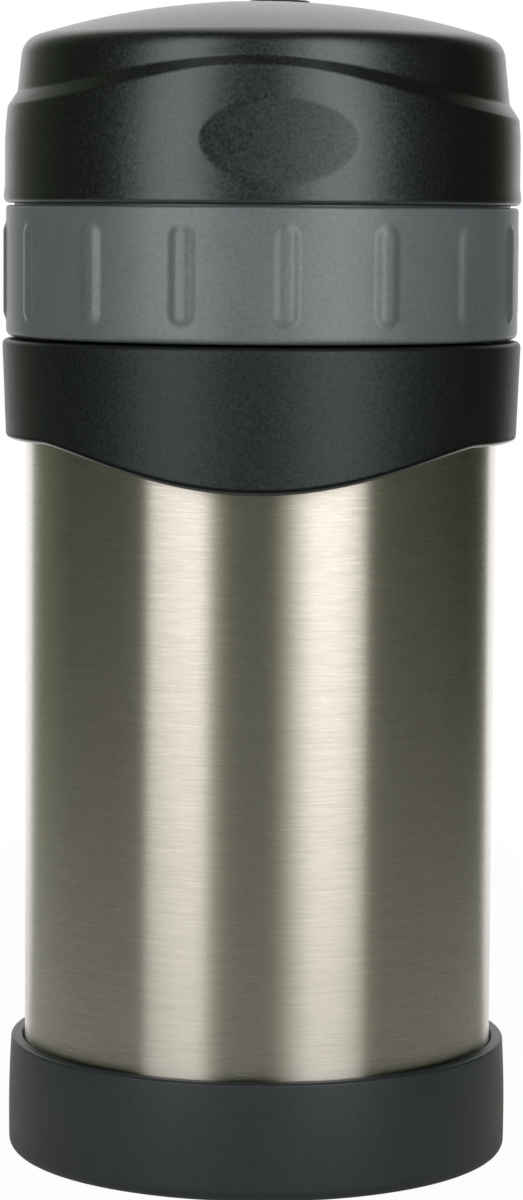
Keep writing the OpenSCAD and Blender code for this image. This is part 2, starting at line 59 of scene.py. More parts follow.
# ---------------------------------------------------------------- sizes taken from the frame
steel_r, steel_z0, steel_z1 = span("outer_shell")
boot_r, _, boot_z1 = span("base_boot")
collar_r, _, collar_top = span("collar")
rib_r, skirt_z, land_z = span("grip_ring")
lid_r, lid_z, lid_top = span("lid_shell")
neck_r, _, mouth_z = span("inner_liner")
gasket_r = span("container_gasket")[0]
button_flange_r, button_z0, button_z1 = span("vent_button")
washer_z0 = span("spring_washer")[1]
button_low, button_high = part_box("vent_button")
vent_x = (button_low[0] + button_high[0]) / 2 / MM

# ---------------------------------------------------------------- sizes of the shapes
# Clearances and seams
fit = 0.1
lid_seam = 0.4
collar_seam = 0.45

# Steel body
steel_t = 0.6
steel_round = 1.0
neck_h = 3.5

# Boot
boot_floor = 3.2
boot_lip = 0.6
boot_foot = 2.0
boot_waist = 0.45
boot_widest = 0.36
lip_chamfer = 0.4
lip_bend = 0.2
foot_hollow = 1.2
foot_w = 9.0
foot_bend = 0.3

# Collar and its bib
collar_draft = 1.0
collar_round = 1.2
collar_wall = 4.2
collar_gasket_t = 1.2
collar_side = 6.1
collar_edge = 1.3
bib_drop = 7.5
bib_half_w = 39.5
bib_power = 1.3
bib_turn = -0.7
inner_round = 0.3

# Grip ring and its ribs
flange_t = 2.0
flange_recess = 0.2
skirt_gap = 1.4
ring_inset = 0.7
ring_t = 2.2
land_w = 0.7
land_round = 0.1
bead_w = 1.3
bead_t = 1.0
ring_low_round = 1.4
ring_top_round = 1.2
rib_proud = rib_r - (collar_r - ring_inset)
rib_count = 16
rib_h = 18.9
rib_w = 5.4
rib_slope = 2.1
rib_turn = 5.2
rib_sunk = 0.12

# Screw threads
thread_lead = 12.0
thread_starts = 3
thread_depth = 1.15
thread_margin = 1.2
thread_step = 5
thread_fade = 4
ridge_root = 1.7
ridge_crest = 0.8
ridge_sunk = 0.4
ridge_round = 0.25

# Lid: dome, band, ledge between them, finger dimple
crown_r = 138.0
shoulder_round = 4.2
dome_inset = 3.2
dome_draft = 0.11
dome_t = 1.9
dome_slack = 0.3
band_straight = 10.0
band_curve = 14.0
band_draw = 1.7
band_t = 3.1
lid_round = 1.0
lid_flare = 0.2
flare_start = 1.3
flare_span = 2.3
lid_step = 0.6
cavity_chamfer = 4.0
cavity_slope_top = 2.4
cavity_slope_foot = 0.4
ledge_mean = 20.8
ledge_wave = 3.5
ledge_sway = 1.0
ledge_pinch = 0.8
ledge_slope = 1.5
ledge_round = 0.35
dimple_w = 30.2
dimple_h = 17.6
dimple_depth = 1.6
dimple_z = 11.8
dimple_turn = 3.8
dimple_soft = 0.03
dimple_reach = 24
dimple_limit = 0.5
dimple_over = 1.5

# Vent button and its hole
button_r = 5.8
button_flange_t = 1.2
button_round = 0.6
dish_inset = 0.9
dish_depth = 0.15
hole_rim = 0.25

# Worked out from those
ring_r = collar_r - ring_inset
ring_z0 = collar_top + collar_seam
ring_z1 = lid_z - lid_seam
ring_mid = (ring_z0 + ring_z1) / 2
land_r = ring_r - ring_t + land_w
skirt_r = gasket_r + fit
skirt_in_r = skirt_r - flange_t
cup_r = skirt_in_r - skirt_gap
collar_root_r = collar_r - collar_wall
shelf_z = mouth_z - neck_h + collar_gasket_t + fit
dome_r = lid_r - dome_inset
lid_h = lid_top - lid_z
shoulder_x = dome_r - shoulder_round
shoulder_h = lid_h - crown_r + math.sqrt((crown_r - shoulder_round) ** 2 - shoulder_x ** 2)
shoulder_tilt = math.degrees(math.asin(shoulder_x / (crown_r - shoulder_round)))
scoop_r = ((dimple_h / 2) ** 2 + dimple_depth ** 2) / (2 * dimple_depth)
scoop_y = lid_r - dimple_depth + scoop_r
scoop_rise = lid_r - math.sqrt(lid_r ** 2 - (dimple_w / 2) ** 2) - dimple_depth


# ---------------------------------------------------------------- mesh helpers
def arc(x, z, r, start, end, n):
    """Points of an arc in the (radius, height) plane; angles in degrees."""
    angles = np.radians(np.linspace(start, end, n + 1))
    return [(x + r * math.cos(a), z + r * math.sin(a)) for a in angles]


def bend(start, corner, end, n):
    """Points of a smooth bend from start to end that is drawn towards a corner."""
    out = []
    for t in np.linspace(0, 1, n + 1):
        a, b, c = (1 - t) ** 2, 2 * t * (1 - t), t ** 2
        out.append(tuple(a * s + b * k + c * e for s, k, e in zip(start, corner, end)))
    return out


def smooth(t):
    """A share from 0 to 1 that starts and ends gently."""
    return t * t * (3 - 2 * t)


def between(start, end, count):
    """Points on the line between two points, closer together near its ends."""
    shares = [(1 - math.cos(math.pi * k / (count + 1))) / 2 for k in range(1, count + 1)]
    return [tuple(s + (e - s) * t for s, e in zip(start, end)) for t in shares]


def outline(corners, n=5):
    """A closed outline from corners (radius, height, rounding, points on the edge that follows)."""
    bends = []
    for i, (x, z, radius, _) in enumerate(corners):
        if radius <= 0:
            bends.append([(x, z)])
            continue
        p = np.array((x, z))
        back = np.array(corners[i - 1][:2]) - p
        ahead = np.array(corners[(i + 1) % len(corners)][:2]) - p
        back_length, ahead_length = np.linalg.norm(back), np.linalg.norm(ahead)
        back, ahead = back / back_length, ahead / ahead_length
        half = math.acos(max(-1.0, min(1.0, float(back @ ahead)))) / 2
        cut = min(radius / math.tan(half), 0.45 * back_length, 0.45 * ahead_length)
        bends.append(bend(p + back * cut, p, p + ahead * cut, n))
    out = []
    for i, points in enumerate(bends):
        out += points
        out += between(points[-1], bends[(i + 1) % len(bends)][0], corners[i][3])
    return out


def around(angle, radius, height, shift=0.0):
    """The point at an angle, a radius and a height, round an axis shifted along X."""
    a = math.radians(angle)
    return shift + radius * math.sin(a), -radius * math.cos(a), height


def build(name, verts, faces, material, smooth_angle=35):
    """A smooth-shaded mesh object from points in millimetres."""
    mesh = bpy.data.meshes.new(name)
    mesh.from_pydata([tuple(float(c) * MM for c in v) for v in verts], [], faces)
    work = bmesh.new()
    work.from_mesh(mesh)
    bmesh.ops.remove_doubles(work, verts=work.verts, dist=1e-7)
    bmesh.ops.recalc_face_normals(work, faces=work.faces)
    work.to_mesh(mesh)
    work.free()
    mesh.materials.append(material)
    mesh.polygons.foreach_set("use_smooth", [True] * len(mesh.polygons))
    mesh.set_sharp_from_angle(angle=math.radians(smooth_angle))
    mesh.update()
    obj = bpy.data.objects.new(name, mesh)
    bpy.context.scene.collection.objects.link(obj)
    return obj


def grid_faces(columns, rows):
    """Quads of a grid that closes round its columns and along its rows."""
    faces = []
    for i in range(columns):
        k = (i + 1) % columns
        for j in range(rows):
            after = (j + 1) % rows
            faces.append((i * rows + j, k * rows + j, k * rows + after, i * rows + after))
    return faces


def turned(outline_at, columns=288, angles=None):
    """Points and faces of a turned solid; outline_at(angle) gives a fixed number of points."""
    verts = []
    angles = [360 * i / columns for i in range(columns)] if angles is None else list(angles)
    for angle in angles:
        section = outline_at(angle)
        verts += [around(angle, *point) for point in section]
    return verts, grid_faces(len(angles), len(section))


def join(*parts):
    """Several (points, faces) lists as one."""
    verts, faces = [], []
    for more_verts, more_faces in parts:
        first = len(verts)
        verts += more_verts
        faces += [tuple(first + v for v in face) for face in more_faces]
    return verts, faces


def thread(radius, z0, z1, outward, phase):
    """All starts of a screw thread on a wall; a ridge crosses height 0 at the phase, from +X."""
    side = 1 if outward else -1
    parts = []
    turn = 360 * (z1 - z0 - ridge_root) / thread_lead
    steps = math.ceil(turn / thread_step)
    for k in range(thread_starts):
        verts = []
        start = phase + 360 * k / thread_starts + 360 * z0 / thread_lead
        for i in range(steps + 1):
            a = math.radians(start + turn * i / steps)
            z = z0 + ridge_root / 2 + thread_lead * turn / 360 * i / steps
            depth = thread_depth * min(1, (i + 0.4) / thread_fade, (steps - i + 0.4) / thread_fade)
            section = outline([
                (radius - side * ridge_sunk, -ridge_root / 2, 0, 0),
                (radius + side * depth, -ridge_crest / 2, ridge_round, 0),
                (radius + side * depth, ridge_crest / 2, ridge_round, 0),
                (radius - side * ridge_sunk, ridge_root / 2, 0, 0)], 2)
            verts += [(r * math.cos(a), r * math.sin(a), z + h) for r, h in section]
        rows = len(section)
        faces = [f for f in grid_faces(steps + 1, rows) if f[0] < steps * rows]
        faces += [tuple(range(rows)), tuple(steps * rows + j for j in range(rows))]
        parts.append((verts, faces))
    return join(*parts)


def piece(obj, body, slot, *nodes):
    """Makes an object stand for CAD nodes and ride on their body. The slot is not used."""
    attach(obj, body)
    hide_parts(*nodes)
    return obj


# ---------------------------------------------------------------- material helpers
NOISE_LOW, NOISE_HIGH = 0.3, 0.7
ROUGHNESS_SPREAD = 0.05
METAL_SPREAD = 0.06


def new_material(name):
    """A material with its nodes, its links and its shader."""
    material = bpy.data.materials.new(name)
    material.use_nodes = True
    tree = material.node_tree
    return material, tree, tree.nodes["Principled BSDF"]


def noise(tree, scale, detail=2.0, stretch=(1, 1, 1), rough=0.5):
    """A noise in the piece's own coordinates; the scale is per metre."""
    place = tree.nodes.new("ShaderNodeTexCoord")
    mapping = tree.nodes.new("ShaderNodeMapping")
    mapping.inputs["Scale"].default_value = stretch
    texture = tree.nodes.new("ShaderNodeTexNoise")
    texture.inputs["Scale"].default_value = scale
    texture.inputs["Detail"].default_value = detail
    texture.inputs["Roughness"].default_value = rough
    tree.links.new(place.outputs["Object"], mapping.inputs["Vector"])
    tree.links.new(mapping.outputs["Vector"], texture.inputs["Vector"])
    return texture.outputs["Fac"]


def mapped(tree, value, start, end, low=0.0, high=1.0, kind="LINEAR"):
    """A value that goes from low to high as another goes from start to end."""
    node = tree.nodes.new("ShaderNodeMapRange")
    node.interpolation_type = kind
    limits = {"From Min": start, "From Max": end, "To Min": low, "To Max": high}
    for socket, limit in limits.items():
        node.inputs[socket].default_value = limit
    tree.links.new(value, node.inputs["Value"])
    return node.outputs["Result"]


def between_levels(tree, value, low, high):
    """The noise's middle range spread from low to high."""
    return mapped(tree, value, NOISE_LOW, NOISE_HIGH, low, high)


def two_colors(tree, value, low, high):
    """A colour from low to high as a noise rises."""
    ramp = tree.nodes.new("ShaderNodeValToRGB")
    for stop, place, color in zip(ramp.color_ramp.elements, (NOISE_LOW, NOISE_HIGH), (low, high)):
        stop.position = place
        stop.color = (*color, 1)
    tree.links.new(value, ramp.inputs["Fac"])
    return ramp.outputs["Color"]


def bump(tree, height, distance, strength=1.0, under=None):
    """A bump of so many millimetres, on top of another one if given."""
    node = tree.nodes.new("ShaderNodeBump")
    node.inputs["Strength"].default_value = strength
    node.inputs["Distance"].default_value = distance * MM
    tree.links.new(height, node.inputs["Height"])
    if under is not None:
        tree.links.new(under, node.inputs["Normal"])
    return node.outputs["Normal"]


def shade(color, share):
    """A colour made lighter or darker by a share."""
    return tuple(c * (1 + share) for c in color)


def moulded(name, color, roughness, grain=1800, depth=0.012, mottle=0.08, specular=0.5,
            gloss=(1, 1, 1), speckle=0.0):
    """Moulded plastic or rubber: a fine grain over a slow unevenness, in colour and sheen too."""
    material, tree, shader = new_material(name)
    fine = noise(tree, grain, 3)
    slow = noise(tree, 90, 3)
    tones = two_colors(tree, slow, shade(color, -mottle), shade(color, mottle))
    tree.links.new(tones, shader.inputs["Base Color"])
    rough = between_levels(tree, fine, roughness - ROUGHNESS_SPREAD, roughness + ROUGHNESS_SPREAD)
    tree.links.new(rough, shader.inputs["Roughness"])
    normal = bump(tree, slow, 0.03, 0.5)
    tree.links.new(bump(tree, fine, depth, 1.0, normal), shader.inputs["Normal"])
    if speckle:
        sheen = between_levels(tree, fine, specular * (1 - speckle), specular * (1 + speckle))
        tree.links.new(sheen, shader.inputs["Specular IOR Level"])
    shader.inputs["Specular IOR Level"].default_value = specular
    shader.inputs["Specular Tint"].default_value = (*gloss, 1)
    return material


def brushed(name, color, roughness, anisotropy, tint, streak=90.0):
    """Steel brushed round its axis: fine lines that draw reflections out along the axis."""
    material, tree, shader = new_material(name)
    shader.inputs["Metallic"].default_value = 1.0
    shader.inputs["Anisotropic"].default_value = anisotropy
    lines = noise(tree, streak, 6, (1, 1, 32), 0.75)
    scratches = noise(tree, streak * 3, 4, (1, 1, 18), 0.7)
    slow = noise(tree, 30, 2)
    tones = two_colors(tree, lines, shade(color, -tint), shade(color, tint))
    tree.links.new(tones, shader.inputs["Base Color"])
    rough = between_levels(tree, scratches, roughness - ROUGHNESS_SPREAD,
                           roughness + ROUGHNESS_SPREAD)
    tree.links.new(rough, shader.inputs["Roughness"])
    tangent = tree.nodes.new("ShaderNodeTangent")
    tangent.direction_type = "RADIAL"
    tangent.axis = "Z"
    tree.links.new(tangent.outputs["Tangent"], shader.inputs["Tangent"])
    shader.inputs["Anisotropic Rotation"].default_value = 0.25
    normal = bump(tree, slow, 0.02, 0.3)
    tree.links.new(bump(tree, lines, 0.004, 0.6, normal), shader.inputs["Normal"])
    return material


def mixed(tree, share, low, high):
    """A number or a colour that goes from low to high with a share.

    Low may be a value or a socket. High may too, but a socket is then taken as a colour's.
    """
    node = tree.nodes.new("ShaderNodeMix")
    is_color = not isinstance(high, (int, float))
    node.data_type = "RGBA" if is_color else "FLOAT"
    tree.links.new(share, node.inputs[0])
    sockets = (node.inputs[6], node.inputs[7]) if is_color else (node.inputs[2], node.inputs[3])
    for socket, value in zip(sockets, (low, high)):
        if isinstance(value, (int, float)):
            socket.default_value = value
        elif isinstance(value, tuple):
            socket.default_value = (*value, 1)
        else:
            tree.links.new(value, socket)
    return node.outputs[2] if is_color else node.outputs[0]


def fed_by(socket):
    """What a shader socket takes now: the socket linked to it, or its value."""
    return socket.links[0].from_socket if socket.links else socket.default_value


def remix(tree, socket, share, other):
    """Lets what feeds a shader socket turn into something else with a share."""
    tree.links.new(mixed(tree, share, fed_by(socket), other), socket)


def share_between(tree, source, output, axis, start, end):
    """How far one coordinate of a vector output has gone from start to end, from 0 to 1."""
    split = tree.nodes.new("ShaderNodeSeparateXYZ")
    tree.links.new(source.outputs[output], split.inputs[0])
    return mapped(tree, split.outputs[axis], start, end, kind="SMOOTHSTEP")


def polish_and_paint_sheen_below(tree, shader, roughness, front, sides):
    """A smoother finish on faces that look down, with painted light on them: a painted shade strip of
    low specular where they start to look down, and below it a painted reflection, a colour lighter than
    the collar's own and more specular on the sides than at the front.

    Front and sides are each a (painted colour, specular). Slopes are the Z of the normal.
    """
    shade_strip_slopes = (-0.02, -0.2)
    shade_strip_specular = 0.08
    polish_and_sheen_slopes = (-0.36, -0.62)
    side_start, side_end = 24 * MM, 38 * MM
    normal = tree.nodes.new("ShaderNodeNewGeometry")
    under = share_between(tree, normal, "Normal", "Z", *shade_strip_slopes)
    down = share_between(tree, normal, "Normal", "Z", *polish_and_sheen_slopes)
    place = tree.nodes.new("ShaderNodeTexCoord")
    right = share_between(tree, place, "Object", "X", side_start, side_end)
    left = share_between(tree, place, "Object", "X", -side_start, -side_end)
    aside = mixed(tree, right, left, 1.0)
    color = mixed(tree, aside, front[0], sides[0])
    specular = mixed(tree, aside, front[1], sides[1])
    # painted shade: a strip of low specular where the faces start to look down
    shade_strip = mixed(tree, under, fed_by(shader.inputs["Specular IOR Level"]), shade_strip_specular)
    # painted reflection: faces that look down take a lighter colour, more so on the sides
    remix(tree, shader.inputs["Base Color"], down, color)
    remix(tree, shader.inputs["Roughness"], down, roughness)
    tree.links.new(mixed(tree, down, shade_strip, specular), shader.inputs["Specular IOR Level"])


def metal(name, color, roughness):
    """Plain metal of the small parts, a little uneven."""
    material, tree, shader = new_material(name)
    shader.inputs["Metallic"].default_value = 1.0
    grain = noise(tree, 900, 3)
    tones = two_colors(tree, grain, shade(color, -METAL_SPREAD), shade(color, METAL_SPREAD))
    tree.links.new(tones, shader.inputs["Base Color"])
    rough = between_levels(tree, grain, roughness - METAL_SPREAD, roughness + METAL_SPREAD)
    tree.links.new(rough, shader.inputs["Roughness"])
    tree.links.new(bump(tree, grain, 0.004), shader.inputs["Normal"])
    return material


# ---------------------------------------------------------------- materials
steel_skin = brushed("steel_skin", (0.430, 0.402, 0.356), 0.30, 1.0, 0.12)
inner_steel = brushed("inner_steel", (0.56, 0.55, 0.53), 0.28, 0.6, 0.05)
lid_black = moulded("lid_black", (0.0012, 0.0016, 0.0015), 0.325, specular=0.8,
                    gloss=(0.92, 1.03, 1.01), speckle=0.2)
collar_black = moulded("collar_black", (0.0024, 0.0031, 0.0030), 0.43, specular=0.43,
                       gloss=(0.90, 1.04, 1.03), speckle=0.28)
ring_grey = moulded("ring_grey", (0.081, 0.091, 0.097), 0.38, 1500, 0.010, 0.06, 0.68, speckle=0.28)
boot_rubber = moulded("boot_rubber", (0.0090, 0.0136, 0.0147), 0.46, 1300, 0.014, 0.10, 0.46,
                      speckle=0.12)
dark_plastic = moulded("dark_plastic", (0.022, 0.022, 0.024), 0.4)
cup_plastic = moulded("cup_plastic", (0.62, 0.62, 0.58), 0.33, 900, 0.008, 0.03)
silicone = moulded("silicone", (0.30, 0.31, 0.32), 0.6, 1400, 0.012, 0.05)
foam = moulded("foam", (0.78, 0.76, 0.68), 0.9, 700, 0.12, 0.06, 0.2)
getter_grey = moulded("getter_grey", (0.07, 0.07, 0.075), 0.7, 1200, 0.03, 0.12)
copper_foil = metal("copper_foil", (0.75, 0.42, 0.27), 0.22)
spring_steel = metal("spring_steel", (0.58, 0.58, 0.58), 0.25)


def paint_ring_seam_shade():
    """Paints shade on the ring's skirt, which shows in the seam below the ring: a painted shadow, near
    black and with little gloss.
    """
    seam_shade_blend = 0.02
    seam_shade_color, seam_shade_specular = (0.003, 0.003, 0.003), 0.02
    tree = ring_grey.node_tree
    shader = tree.nodes["Principled BSDF"]
    in_seam_shade = share_between(tree, tree.nodes.new("ShaderNodeTexCoord"), "Object", "Z",
                            (ring_z0 + seam_shade_blend) * MM, (ring_z0 - seam_shade_blend) * MM)
    # painted shade: the skirt goes near black and dull low down, in the seam below the ring
    remix(tree, shader.inputs["Base Color"], in_seam_shade, seam_shade_color)
    remix(tree, shader.inputs["Specular IOR Level"], in_seam_shade, seam_shade_specular)


paint_ring_seam_shade()
# the collar's lower edge: polished, with a painted reflection that is lighter on the sides than at the
# front
polish_and_paint_sheen_below(collar_black.node_tree, collar_black.node_tree.nodes["Principled BSDF"], 0.25,
               ((0.028, 0.029, 0.028), 0.45), ((0.11, 0.112, 0.11), 1.0))

# Finish and slot of each node whose solid is shown as it is
kept_nodes = {
    "inner_liner": (inner_steel, "inner_steel"),
    "bottom_plate": (inner_steel, "inner_steel"),
    "vacuum_plug": (inner_steel, "inner_steel"),
    "seal_cap": (inner_steel, "inner_steel"),
    "reflective_foil": (copper_foil, "copper_foil"),
    "getter": (getter_grey, "getter_pill"),
    "collar_gasket": (silicone, "silicone"),
    "food_cup": (cup_plastic, "cup_plastic"),
    "container_gasket": (silicone, "silicone"),
    "lid_liner": (dark_plastic, "dark_plastic"),
    "lid_foam": (foam, "foam"),
    "lid_gasket": (silicone, "silicone"),
    "vent_stem": (spring_steel, "spring_steel"),
    "vent_valve": (silicone, "silicone"),
    "valve_clip": (spring_steel, "spring_steel"),
    "vent_spring": (spring_steel, "spring_steel"),
    "spring_washer": (spring_steel, "spring_steel"),
}
for node_name, (finish, slot_name) in kept_nodes.items():
    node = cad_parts[node_name]
    for material_slot in node.material_slots:
        material_slot.material = finish


# ---------------------------------------------------------------- steel body
def steel_body():
    """Outer wall of the flask, with its shoulder and its neck."""
    in_r = steel_r - steel_t
    shoulder_z = mouth_z - neck_h
    section = outline([
        (in_r, steel_z0, 0, 0), (steel_r, steel_z0, 0, 12), (steel_r, shoulder_z, steel_round, 0),
        (neck_r, shoulder_z, 0, 0), (neck_r, steel_z1, 0, 0), (neck_r - steel_t, steel_z1, 0, 0),
        (neck_r - steel_t, shoulder_z - steel_t, 0, 0), (in_r, shoulder_z - steel_t, 0, 0)])
    return build("steel_body", *turned(lambda angle: section), steel_skin)


piece(steel_body(), "flask", "brushed_steel_body", "outer_shell")


# ---------------------------------------------------------------- rubber boot
def boot():
    """Boot with a lip that curls in to the steel, a slight belly and a hollow under the foot."""
    def belly(z):
        """Outer radius at a height: widest a little above a third of it."""
        widest = boot_z1 * boot_widest
        rise = (z - widest) / (boot_z1 - widest)
        return boot_r - boot_waist * (rise ** 2 if rise > 0 else 0.5 * rise ** 2)

    in_r = steel_r + fit / 2
    hollow_r = boot_r - boot_foot - foot_w
    top_r = belly(boot_z1 - boot_lip)
    section = [(0, foot_hollow), (hollow_r - foot_bend, foot_hollow)]
    section += bend((hollow_r, foot_bend), (hollow_r, 0), (hollow_r + foot_bend, 0), 3)
    section += between((hollow_r + foot_bend, 0), (belly(0) - boot_foot, 0), 3)
    section += arc(belly(boot_foot) - boot_foot, boot_foot, boot_foot, -90, 0, 8)
    side = np.linspace(boot_foot + boot_lip, boot_z1 - 2 * boot_lip, 20)
    section += [(belly(z), z) for z in side]
    section += arc(top_r - boot_lip, boot_z1 - boot_lip, boot_lip, 0, 86, 7)
    section += between(section[-1], (in_r + lip_chamfer, boot_z1), 3)
    section += bend((in_r + lip_chamfer + lip_bend, boot_z1), (in_r + lip_chamfer, boot_z1),
                    (in_r, boot_z1 - 2 * lip_chamfer), 4)
    section += [(in_r, boot_floor), (0, boot_floor)]
    return build("boot", *turned(lambda angle: section), boot_rubber)


piece(boot(), "flask", "boot_rubber", "base_boot")


# ---------------------------------------------------------------- collar
def bib_z(angle):
    """Height of the collar's lower edge."""
    across = collar_r * math.sin(math.radians(angle - bib_turn)) / bib_half_w
    return mouth_z - collar_side - bib_drop * max(0.0, 1 - across ** 2) ** bib_power


def collar_outline(angle):
    """Section of the collar: its side leans in towards the lower edge."""
    low = bib_z(angle)
    lowest = mouth_z - collar_side - bib_drop
    low_r = collar_r - collar_draft * (collar_top - low) / (collar_top - lowest)
    return outline([
        (steel_r + fit, low, inner_round, 0), (low_r, low, collar_edge, 14),
        (collar_r, collar_top, collar_round, 2), (collar_root_r, collar_top, inner_round, 2),
        (collar_root_r, mouth_z, 0, 0), (neck_r + fit, mouth_z, 0, 0),
        (neck_r + fit, shelf_z, 0, 0), (steel_r + fit, shelf_z, 0, 2)], 6)


collar_thread = thread(collar_root_r, mouth_z + thread_margin, collar_top - thread_margin / 2,
                       False, 0)
collar = build("collar_shell", *join(turned(collar_outline), collar_thread), collar_black)
piece(collar, "flask", "black_plastic", "collar")


# ---------------------------------------------------------------- grip ring
def ring_outline(angle):
    """Section of the grip ring: skirt, wall, land, and the bead under the cup's flange."""
    seat_z = ring_z1 - flange_recess - flange_t - fit
    in_r = ring_r - ring_t
    return outline([
        (cup_r + fit, ring_z0, 0, 0), (skirt_in_r, ring_z0, 0, 0), (skirt_in_r, skirt_z, 0, 0),
        (skirt_r, skirt_z, inner_round, 0), (skirt_r, ring_z0, 0, 2),
        (ring_r, ring_z0, ring_low_round, 10), (ring_r, ring_z1, ring_top_round, 0),
        (land_r, ring_z1, 0, 0), (land_r, land_z, land_round, 0),
        (in_r, land_z, 0, 0), (in_r, seat_z, 0, 0), (in_r - bead_w, seat_z, 0, 0),
        (in_r - bead_w, seat_z - bead_t, 0, 0), (in_r, seat_z - bead_t - bead_w, 0, 0),
        (in_r, ring_z0 + flange_t, 0, 0), (cup_r + fit, ring_z0 + flange_t, 0, 0)], 6)


def rib(turn):
    """A raised bar with round ends, whose sides slope softly up to its narrow top."""
    half = (rib_h - rib_w) / 2
    rows = [(0.0, -rib_sunk)]
    for share in np.linspace(0, 1, 9):
        rows.append((rib_slope * share, rib_proud * smooth(share)))
    verts = []
    corner_steps = 12
    for inset, height in rows:
        end_r = rib_w / 2 - inset
        for top, first in ((half, 0), (-half, 180)):
            for a in np.radians(np.linspace(first, first + 180, corner_steps + 1)):
                across = math.degrees(end_r * math.cos(a) / ring_r)
                z = ring_mid + top + end_r * math.sin(a)
                verts.append(around(turn + across, ring_r + height, z))
    count = 2 * (corner_steps + 1)
    faces = []
    for i in range(len(rows) - 1):
        for j in range(count):
            k = (j + 1) % count
            faces.append((i * count + j, i * count + k, (i + 1) * count + k, (i + 1) * count + j))
    last = (len(rows) - 1) * count
    for j in range(corner_steps):
        faces.append((last + j, last + j + 1, last + count - 2 - j, last + count - 1 - j))
    faces.append(tuple(range(count))[::-1])
    return verts, faces


ribs = [rib(rib_turn + 360 * k / rib_count) for k in range(rib_count)]
ring_thread = thread(skirt_r, skirt_z + thread_margin / 2, ring_z0 - thread_margin / 2, True,
                     180 / thread_starts)
grip = build("ribbed_ring", *join(turned(ring_outline), ring_thread, *ribs), ring_grey)
piece(grip, "container", "grey_plastic", "grip_ring")


# ---------------------------------------------------------------- lid
def band_r(h):
    """Outer radius of the lid's band at a height above its lower edge."""
    above = min(1.0, max(0.0, (h - flare_start) / flare_span))
    drawn_in = band_draw * (max(0.0, h - band_straight) / band_curve) ** 2
    return lid_r - lid_flare * smooth(above) - drawn_in


def dome_side_r(h):
    """Outer radius of the dome's side."""
    return dome_r + dome_draft * (shoulder_h - h)


def ledge_h(angle):
    """Height of the middle of the ledge."""
    a = math.radians(angle)
    wave = ledge_wave * math.cos(2 * a) - ledge_sway * math.sin(a)
    return ledge_mean + wave + ledge_pinch * math.cos(4 * a)


def face_r(angle, h):
    """Outer radius of the band with the finger dimple scooped out of it."""
    band = band_r(h)
    turn = math.radians((angle - dimple_turn + 180) % 360 - 180)
    away = h - dimple_z
    if abs(turn) > dimple_limit or abs(away) > scoop_r:
        return band
    r = lid_r
    for _ in range(8):
        scoop = scoop_r + scoop_rise * (r * math.sin(turn) / (dimple_w / 2)) ** 2
        r = (scoop_y - math.sqrt(max(0.0, scoop ** 2 - away ** 2))) / math.cos(turn)
    if r > band + dimple_over:
        return band
    return min(band, r) - dimple_soft * math.log1p(math.exp(-abs(band - r) / dimple_soft))


def crown_level(angle, radius, shift):
    """Height of the crown's surface under a point round the shifted axis."""
    x, y, _ = around(angle, radius, 0, shift)
    return lid_h - crown_r + math.sqrt(crown_r ** 2 - x ** 2 - y ** 2)


def lid_outline(angle):
    """Section of the lid: up the band, over ledge and crown, into the hole and down inside."""
    ledge = ledge_h(angle)
    mid = (band_r(ledge) + dome_side_r(ledge)) / 2
    low = high = ledge
    for _ in range(6):
        low = ledge - ledge_slope * (band_r(low) - mid)
        high = ledge - ledge_slope * (dome_side_r(high) - mid)
    foot = (band_r(low), low)
    head = (dome_side_r(high), high)
    length = math.dist(foot, head)
    share = min(ledge_round, 0.42 * length) / length
    on_slope = [tuple(a + (b - a) * t for a, b in zip(foot, head)) for t in (share, 1 - share)]
    rows = arc(lid_r - lid_round, lid_round, lid_round, -90, 0, 6)
    band_end = low - ledge_round
    rows += [(face_r(angle, h), h) for h in np.linspace(lid_round, band_end, 64)[1:-1]]
    rows += bend((face_r(angle, band_end), band_end), foot, on_slope[0], 5)
    rows += bend(on_slope[1], head, (dome_side_r(high + ledge_round), high + ledge_round), 5)
    slope = math.degrees(math.atan(dome_draft))
    shoulder = arc(shoulder_x, shoulder_h, shoulder_round, slope, 90 - shoulder_tilt, 14)
    rows += between(rows[-1], shoulder[0], 6) + shoulder
    crown_edge = shoulder[-1][0]
    hole_r = button_r + fit
    for t in np.linspace(0, 1, 28)[1:]:
        shift = vent_x * smooth(t)
        radius = crown_edge + (hole_r + hole_rim - crown_edge) * t
        rows.append((radius, crown_level(angle, radius, shift), shift))
    level = rows[-1][1]
    bevel = 0.3 * hole_rim
    rows += [(hole_r + bevel, level - bevel, vent_x), (hole_r, level - hole_rim, vent_x)]
    under = crown_r - dome_t - dome_slack
    deep = lid_h - crown_r + math.sqrt(under ** 2 - (vent_x + hole_r) ** 2)
    side_r = dome_r - dome_t
    side_h = lid_h - crown_r + math.sqrt(under ** 2 - side_r ** 2)
    cavity_h = washer_z0 - lid_z
    rows += [(hole_r, deep, vent_x), (side_r - cavity_chamfer, side_h),
             (side_r, side_h - cavity_chamfer), (side_r, cavity_h + cavity_slope_top),
             (lid_r - band_t, cavity_h + cavity_slope_foot), (lid_r - band_t, lid_step),
             (land_r + fit, lid_step), (land_r + fit, 0)]
    return [(point[0], lid_z + point[1], *point[2:]) for point in rows]


near_dimple = np.linspace(dimple_turn - dimple_reach, dimple_turn + dimple_reach, 241)
elsewhere = np.linspace(dimple_turn + dimple_reach, dimple_turn + 360 - dimple_reach, 391)[1:-1]
lid = build("lid_dome", *turned(lid_outline, angles=[*near_dimple, *elsewhere]), lid_black)
piece(lid, "lid", "black_plastic", "lid_shell")


